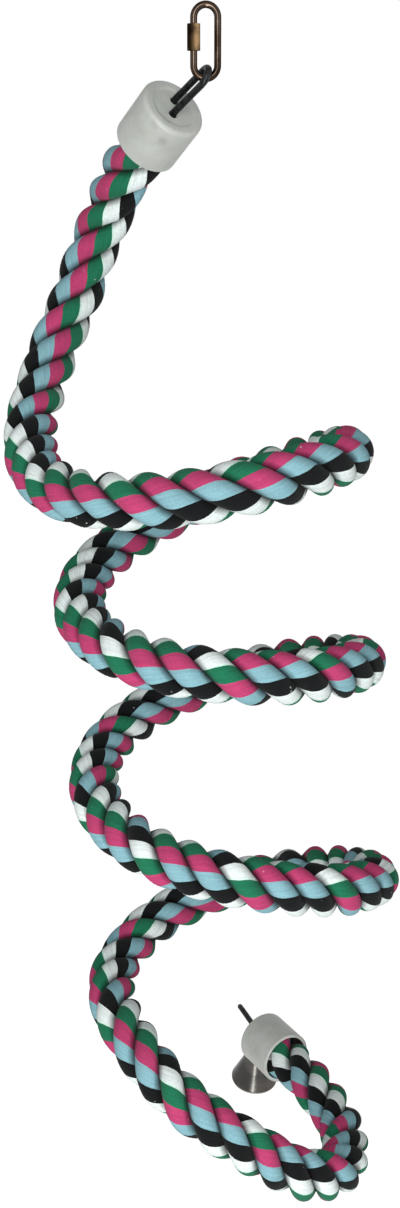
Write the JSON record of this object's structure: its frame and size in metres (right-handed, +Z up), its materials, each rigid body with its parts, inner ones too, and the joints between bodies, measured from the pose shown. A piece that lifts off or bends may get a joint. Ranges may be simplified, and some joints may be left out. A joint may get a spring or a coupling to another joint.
{
  "type": "coiled rope bird perch",
  "caption": "Hanging bird perch: a thick striped cotton rope wound in a springy open coil, with a quick link at the top and a bell at the bottom.",
  "frame": {"origin": "the hang point, at the inside of the quick link's upper bow, midway across the link", "axes": "+Z up, +X to the right and +Y away from the viewer as the picture shows the perch"},
  "size_m": [0.2538, 0.2396, 0.7918],
  "materials": {
    "link_chrome": "bright zinc or chrome plate, polished",
    "dark_wire": "dark gunmetal wire, satin",
    "cap_plastic": "off-white moulded plastic, slightly glossy on its edges",
    "crimp_steel": "plain drawn steel",
    "rope_cotton": "soft cotton rope in bands of green, pink, light blue, black and white",
    "bell_nickel": "nickel plate, polished, with brown reflections"
  },
  "bodies": {
    "link": {"quick_link": "link_chrome"},
    "nut": {"link_nut": "link_chrome"},
    "perch": {"top_eye": "dark_wire", "top_cap": "cap_plastic", "top_ferrule": "crimp_steel", "rope": "rope_cotton", "core_wire": "crimp_steel"},
    "tail": {"bottom_ferrule": "crimp_steel", "bottom_cap": "cap_plastic", "bottom_eye": "dark_wire"},
    "bell": {"bell": "bell_nickel", "bell_hanger": "crimp_steel"},
    "clapper": {"clapper": "dark_wire"}
  },
  "joints": [
    {"name": "nut_screw", "type": "slide", "parent": "link", "child": "nut", "axis": [0, 0, -1], "range_m": [0, 0.0068]},
    {"name": "swing", "type": "hinge", "parent": "link", "child": "perch", "pos_m": [0, 0, -0.0367], "axis": [1, 0, 0], "range_deg": [-35, 35]},
    {"name": "bounce", "type": "slide", "parent": "perch", "child": "tail", "axis": [0, 0, -1], "range_m": [-0.05, 0.1], "stiffness_N_per_m": 190, "springref_m": -0.0032, "deforming": ["rope", "core_wire"]},
    {"name": "bell_swing", "type": "hinge", "parent": "tail", "child": "bell", "pos_m": [0.04338, 0.09747, -0.73832], "axis": [-0.4337, 0.8903, 0.1386], "range_deg": [-45, 75]},
    {"name": "clapper_swing", "type": "hinge", "parent": "bell", "child": "clapper", "pos_m": [0.04235, 0.09957, -0.75506], "axis": [0.899, 0.4379, 0], "range_deg": [-15, 30]}
  ]
}
